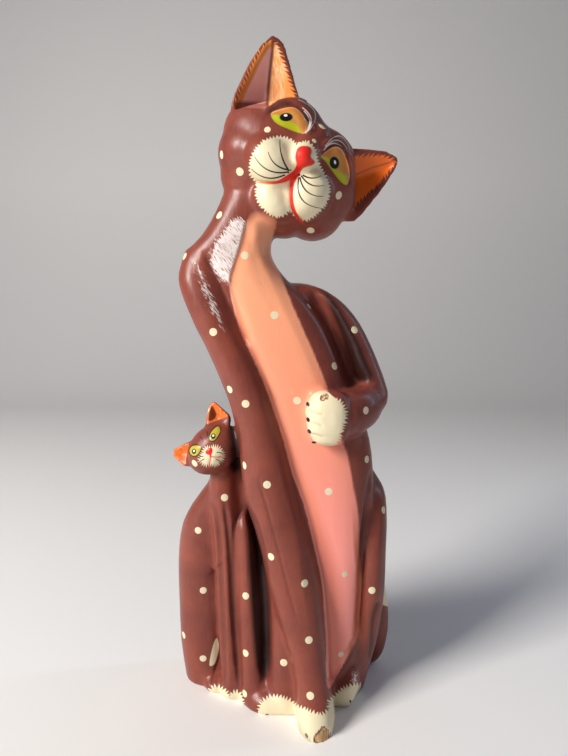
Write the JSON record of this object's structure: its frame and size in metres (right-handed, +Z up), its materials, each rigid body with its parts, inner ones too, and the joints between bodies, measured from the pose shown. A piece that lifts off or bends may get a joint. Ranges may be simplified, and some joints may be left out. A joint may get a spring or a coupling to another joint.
{
  "type": "carved wooden cat sculpture",
  "caption": "Tall seated cat with a tilted head, a long curved neck and a paw on its chest, with a kitten at its side, carved from a block of wood and painted with dots.",
  "frame": {"origin": "middle of the bounding box, on the flat underside", "axes": "+Z up, +X to the viewer's right as the cat is seen from the front, +Y to the back"},
  "size_m": [0.215, 0.1356, 0.6],
  "materials": {
    "painted_wood": "glossy paint, brown with a pink chest and cream dots"
  },
  "bodies": {
    "root": {"cat_and_kitten": "painted_wood"}
  },
  "joints": []
}
